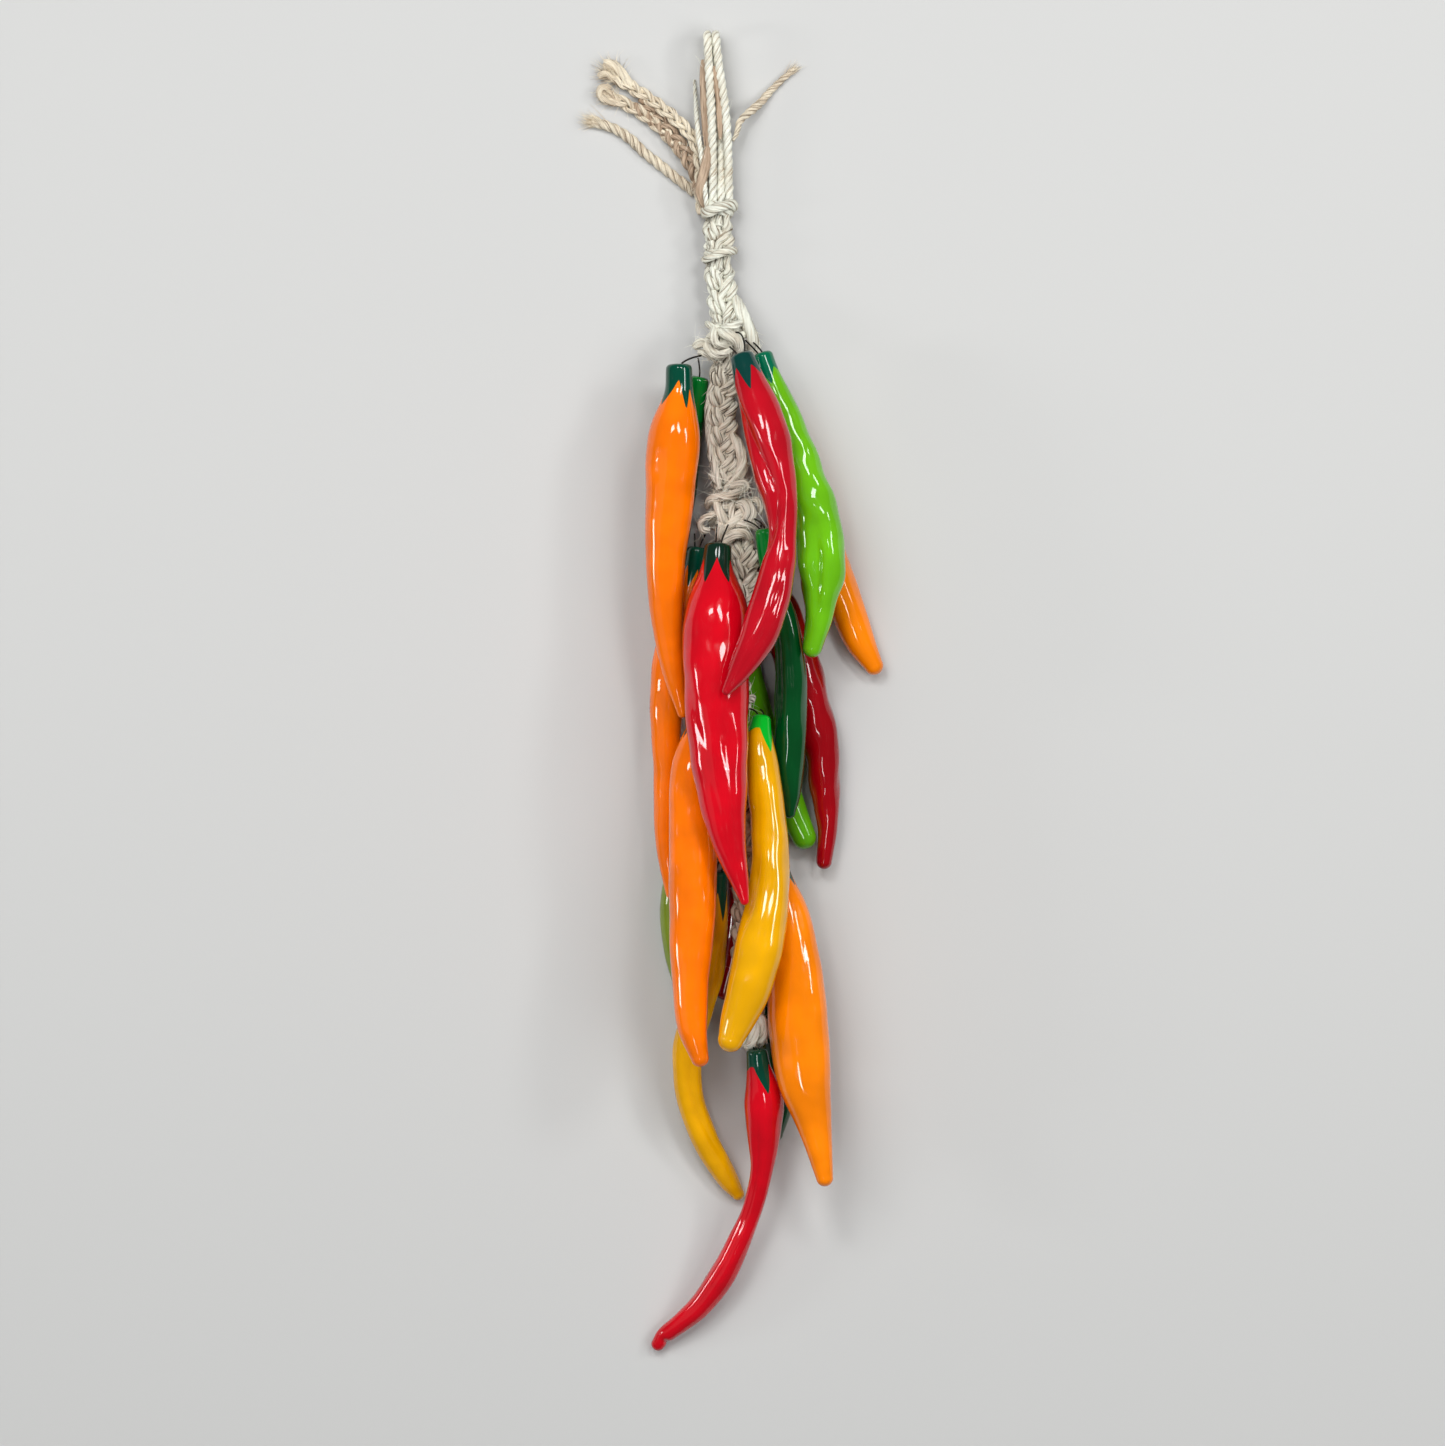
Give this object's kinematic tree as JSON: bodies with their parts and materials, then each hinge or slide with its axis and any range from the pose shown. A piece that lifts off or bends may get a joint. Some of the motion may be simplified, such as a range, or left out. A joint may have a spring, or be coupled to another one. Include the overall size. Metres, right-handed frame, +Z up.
{
  "type": "string of ceramic chillies",
  "caption": "Hanging ornament of glazed ceramic chillies in orange, red, yellow, lime and green, wired by their stems to a plaited sisal rope with knots and a hanging loop.",
  "frame": {"origin": "on the table, under the middle of the box round the chillies, the plaited rope and its knots; the hanging loops and the loose cord ends are left out of that box", "axes": "+X to the right of the shown side, +Y up the string towards the hanging loops, +Z up from the table to the shown side"},
  "size_m": [0.1323, 0.5966, 0.0708],
  "materials": {
    "glaze_orange": "high-gloss orange ceramic glaze with a dark green painted stem cap",
    "glaze_red": "high-gloss red ceramic glaze with a near-black green painted stem cap",
    "glaze_yellow": "high-gloss yellow ceramic glaze with a green painted stem cap",
    "glaze_lime": "high-gloss lime green ceramic glaze with a blue-green painted stem cap",
    "glaze_dark_green": "high-gloss dark green ceramic glaze",
    "glaze_leaf_green": "high-gloss leaf green ceramic glaze",
    "sisal": "raw undyed twisted sisal fibre, greyer and dustier lower down",
    "iron_wire": "dark annealed iron wire"
  },
  "bodies": {
    "root": {"chilli_orange_right": "glaze_orange", "chilli_green_back_left": "glaze_dark_green", "chilli_green_back_right": "glaze_leaf_green", "chilli_red_right": "glaze_red", "chilli_green_left": "glaze_dark_green", "chilli_red_back": "glaze_red", "chilli_green_back_low": "glaze_dark_green", "chilli_orange_left": "glaze_orange", "rope_strand_1": "sisal", "rope_strand_2": "sisal", "rope_strand_3": "sisal", "knot_top": "sisal", "knot_second": "sisal", "knot_upper": "sisal", "knot_middle": "sisal", "knot_hidden": "sisal", "knot_lower": "sisal", "knot_end": "sisal", "chilli_green_right": "glaze_dark_green", "chilli_yellow_left": "glaze_yellow", "chilli_red_low": "glaze_red", "chilli_lime": "glaze_lime", "chilli_orange_front_left": "glaze_orange", "chilli_orange_low_left": "glaze_orange", "chilli_orange_low_right": "glaze_orange", "chilli_yellow_front": "glaze_yellow", "chilli_red_center": "glaze_red", "chilli_red_front_right": "glaze_red", "wire_orange_right": "iron_wire", "wire_green_back_left": "iron_wire", "wire_green_back_right": "iron_wire", "wire_red_right": "iron_wire", "wire_green_left": "iron_wire", "wire_red_back": "iron_wire", "wire_green_back_low": "iron_wire", "wire_orange_left": "iron_wire", "wire_green_right": "iron_wire", "wire_yellow_left": "iron_wire", "wire_red_low": "iron_wire", "wire_lime": "iron_wire", "wire_orange_front_left": "iron_wire", "wire_orange_low_left": "iron_wire", "wire_orange_low_right": "iron_wire", "wire_yellow_front": "iron_wire", "wire_red_center": "iron_wire", "wire_red_front_right": "iron_wire", "cord_loop_right": "sisal", "cord_loop_left": "sisal", "cord_end_upper": "sisal", "cord_end_middle": "sisal", "cord_end_lower": "sisal", "cord_end_thin": "sisal", "cord_end_right": "sisal"}
  },
  "joints": []
}
